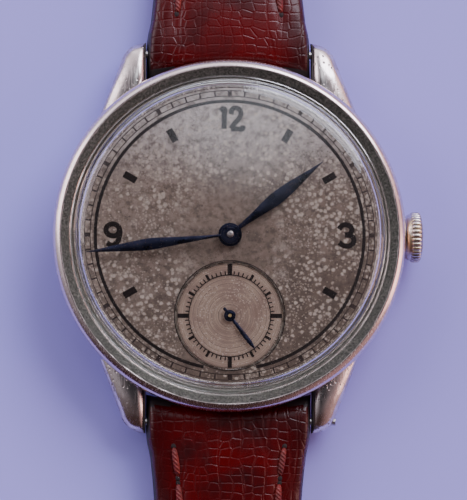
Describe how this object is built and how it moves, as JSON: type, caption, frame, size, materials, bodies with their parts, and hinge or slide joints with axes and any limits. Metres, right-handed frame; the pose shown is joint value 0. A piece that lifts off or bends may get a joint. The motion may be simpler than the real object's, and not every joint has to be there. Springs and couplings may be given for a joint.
{
  "type": "wristwatch",
  "caption": "Hand-wound round wristwatch with domed crystal, small seconds, knurled crown and an open two-piece leather strap with pin buckle.",
  "frame": {"origin": "centre of the case back's flat outer face, on the axis of the hands", "axes": "+X towards the crown, +Y towards 12 o'clock, +Z out of the dial"},
  "size_m": [0.038, 0.2141, 0.0101],
  "materials": {
    "plain_steel": "satin, worn",
    "polished_steel": "polished, fine scratches",
    "blued_steel": "heat blued, glossy",
    "brass": "lightly tarnished",
    "nickel_plate": "nickel plated, striped",
    "acrylic": "clear, slightly yellowed",
    "dial_paint": "aged, speckled",
    "seconds_paint": "circular brushed, aged",
    "strap_leather": "grained, waxed",
    "lining_leather": "smooth",
    "gasket": "matt"
  },
  "bodies": {
    "case": {"case_middle": "plain_steel", "bezel": "polished_steel", "crystal": "acrylic", "case_back": "plain_steel", "crown_tube": "plain_steel", "case_clamp_1": "plain_steel", "case_clamp_2": "plain_steel", "main_plate": "nickel_plate", "barrel_bridge": "nickel_plate", "train_bridge": "nickel_plate", "pallet_bridge": "nickel_plate", "balance_cock": "nickel_plate", "hairspring": "blued_steel", "dial": "dial_paint", "seconds_dial": "seconds_paint", "spring_bar_12": "plain_steel", "spring_bar_6": "plain_steel"},
    "winding_pinion": {"winding_pinion": "plain_steel"},
    "crown": {"crown": "polished_steel", "winding_stem": "plain_steel", "crown_gasket": "gasket"},
    "clutch": {"clutch_wheel": "plain_steel"},
    "setting_lever": {"setting_lever": "plain_steel"},
    "clutch_yoke": {"clutch_yoke": "plain_steel"},
    "crown_wheel": {"crown_wheel": "plain_steel", "crown_wheel_screw": "blued_steel"},
    "ratchet": {"ratchet_wheel": "plain_steel", "ratchet_screw": "blued_steel", "barrel_arbor": "plain_steel"},
    "click": {"click": "plain_steel"},
    "barrel": {"barrel": "brass", "barrel_cover": "brass", "mainspring": "blued_steel"},
    "minute": {"centre_wheel": "brass", "cannon_pinion": "plain_steel", "minute_hand": "blued_steel"},
    "third_wheel": {"third_wheel": "brass"},
    "seconds": {"fourth_wheel": "brass", "seconds_hand": "blued_steel"},
    "escape_wheel": {"escape_wheel": "plain_steel"},
    "hour": {"hour_wheel": "brass", "hour_hand": "blued_steel"},
    "minute_wheel": {"minute_wheel": "brass"},
    "pallet_fork": {"pallet_fork": "plain_steel"},
    "balance": {"balance_wheel": "brass"},
    "regulator": {"regulator": "plain_steel"},
    "pin_12_left": {"bar_pin_12_left": "plain_steel"},
    "pin_12_right": {"bar_pin_12_right": "plain_steel"},
    "pin_6_left": {"bar_pin_6_left": "plain_steel"},
    "pin_6_right": {"bar_pin_6_right": "plain_steel"},
    "strap_12": {"strap_buckle_half": "strap_leather", "strap_buckle_lining": "lining_leather", "fixed_keeper": "strap_leather"},
    "strap_6": {"strap_tail_half": "strap_leather", "strap_tail_lining": "lining_leather"},
    "free_keeper": {"free_keeper": "strap_leather"},
    "buckle": {"buckle_frame": "polished_steel", "buckle_bar": "plain_steel"},
    "buckle_tongue": {"buckle_tongue": "polished_steel"}
  },
  "joints": [
    {"name": "seconds_spin", "type": "hinge", "parent": "case", "child": "seconds", "pos_m": [0, -0.0082, 0.003], "axis": [0, 0, -1], "continuous": true},
    {"name": "minute_spin", "type": "hinge", "parent": "case", "child": "minute", "pos_m": [0, 0, 0.003], "axis": [0, 0, -1], "continuous": true},
    {"name": "hour_spin", "type": "hinge", "parent": "case", "child": "hour", "pos_m": [0, 0, 0.005], "axis": [0, 0, -1], "continuous": true},
    {"name": "minute_wheel_spin", "type": "hinge", "parent": "case", "child": "minute_wheel", "pos_m": [-0.00235, 0.00175, 0.0046], "axis": [0, 0, -1], "continuous": true},
    {"name": "third_wheel_spin", "type": "hinge", "parent": "case", "child": "third_wheel", "pos_m": [0.00268, -0.00448, 0.003], "axis": [0, 0, -1], "continuous": true},
    {"name": "escape_wheel_spin", "type": "hinge", "parent": "case", "child": "escape_wheel", "pos_m": [-0.00343, -0.00622, 0.003], "axis": [0, 0, -1], "continuous": true},
    {"name": "barrel_spin", "type": "hinge", "parent": "case", "child": "barrel", "pos_m": [0.00226, 0.0062, 0.0035], "axis": [0, 0, -1], "continuous": true},
    {"name": "crown_spin", "type": "hinge", "parent": "case", "child": "winding_pinion", "pos_m": [0.009, 0, 0.0033], "axis": [1, 0, 0], "continuous": true},
    {"name": "crown_pull", "type": "slide", "parent": "winding_pinion", "child": "crown", "axis": [1, 0, 0], "range_m": [0, 0.0007]},
    {"name": "clutch_slide", "type": "slide", "parent": "winding_pinion", "child": "clutch", "axis": [1, 0, 0], "range_m": [-0.0007, 0]},
    {"name": "setting_lever_turn", "type": "hinge", "parent": "case", "child": "setting_lever", "pos_m": [0.0103, 0.0036, 0.0048], "axis": [0, 0, 1], "range_deg": [0, 11.5]},
    {"name": "clutch_yoke_turn", "type": "hinge", "parent": "case", "child": "clutch_yoke", "pos_m": [0.00745, -0.0043, 0.0048], "axis": [0, 0, 1], "range_deg": [0, 9.6]},
    {"name": "crown_wheel_spin", "type": "hinge", "parent": "case", "child": "crown_wheel", "pos_m": [0.00648, 0, 0.0013], "axis": [0, 0, 1], "continuous": true},
    {"name": "ratchet_spin", "type": "hinge", "parent": "case", "child": "ratchet", "pos_m": [0.00226, 0.0062, 0.0013], "axis": [0, 0, 1], "continuous": true},
    {"name": "click_turn", "type": "hinge", "parent": "case", "child": "click", "pos_m": [-0.0012, 0.0011, 0.0013], "axis": [0, 0, 1], "range_deg": [0, 12], "stiffness_Nm_per_rad": 0.0005, "springref_deg": -2.86},
    {"name": "pallet_fork_swing", "type": "hinge", "parent": "case", "child": "pallet_fork", "pos_m": [-0.00508, -0.00384, 0.0035], "axis": [0, 0, 1], "range_deg": [-5, 5]},
    {"name": "balance_swing", "type": "hinge", "parent": "case", "child": "balance", "pos_m": [-0.0074, -0.0005, 0.003], "axis": [0, 0, 1], "range_deg": [-220, 220], "stiffness_Nm_per_rad": 0.0000009},
    {"name": "regulator_turn", "type": "hinge", "parent": "case", "child": "regulator", "pos_m": [-0.0074, -0.0005, 0.00135], "axis": [0, 0, 1], "range_deg": [-15, 15]},
    {"name": "pin_12_left_press", "type": "slide", "parent": "case", "child": "pin_12_left", "axis": [1, 0, 0], "range_m": [0, 0.0016], "stiffness_N_per_m": 800, "springref_m": -0.0005},
    {"name": "pin_12_right_press", "type": "slide", "parent": "case", "child": "pin_12_right", "axis": [-1, 0, 0], "range_m": [0, 0.0016], "stiffness_N_per_m": 800, "springref_m": -0.0005},
    {"name": "pin_6_left_press", "type": "slide", "parent": "case", "child": "pin_6_left", "axis": [1, 0, 0], "range_m": [0, 0.0016], "stiffness_N_per_m": 800, "springref_m": -0.0005},
    {"name": "pin_6_right_press", "type": "slide", "parent": "case", "child": "pin_6_right", "axis": [-1, 0, 0], "range_m": [0, 0.0025], "stiffness_N_per_m": 800, "springref_m": -0.0005},
    {"name": "strap_12_swing", "type": "hinge", "parent": "case", "child": "strap_12", "pos_m": [0, 0.0189, 0.0026], "axis": [1, 0, 0], "range_deg": [-90, 60]},
    {"name": "strap_6_swing", "type": "hinge", "parent": "case", "child": "strap_6", "pos_m": [0, -0.0189, 0.0026], "axis": [-1, 0, 0], "range_deg": [-90, 60]},
    {"name": "free_keeper_slide", "type": "slide", "parent": "strap_12", "child": "free_keeper", "axis": [0, 1, 0], "range_m": [-0.004, 0.0055]},
    {"name": "buckle_swing", "type": "hinge", "parent": "strap_12", "child": "buckle", "pos_m": [0, 0.0849, 0.002], "axis": [1, 0, 0], "range_deg": [-80, 45]},
    {"name": "tongue_lift", "type": "hinge", "parent": "buckle", "child": "buckle_tongue", "pos_m": [0, 0.0849, 0.002], "axis": [1, 0, 0], "range_deg": [0, 75]}
  ],
  "couplings": [
    {"joint": "minute_spin", "follows": "seconds_spin", "ratio": 0.016667},
    {"joint": "hour_spin", "follows": "seconds_spin", "ratio": 0.0013889},
    {"joint": "minute_wheel_spin", "follows": "seconds_spin", "ratio": -0.0055556},
    {"joint": "third_wheel_spin", "follows": "seconds_spin", "ratio": -0.13333},
    {"joint": "escape_wheel_spin", "follows": "seconds_spin", "ratio": -10},
    {"joint": "barrel_spin", "follows": "seconds_spin", "ratio": -0.0027778},
    {"joint": "crown_wheel_spin", "follows": "crown_spin", "ratio": 0.5},
    {"joint": "ratchet_spin", "follows": "crown_spin", "ratio": -0.33333},
    {"joint": "clutch_slide", "follows": "crown_pull", "ratio": -1},
    {"joint": "setting_lever_turn", "follows": "crown_pull", "rad_per_m": 277.8},
    {"joint": "clutch_yoke_turn", "follows": "crown_pull", "rad_per_m": 232.6}
  ]
}
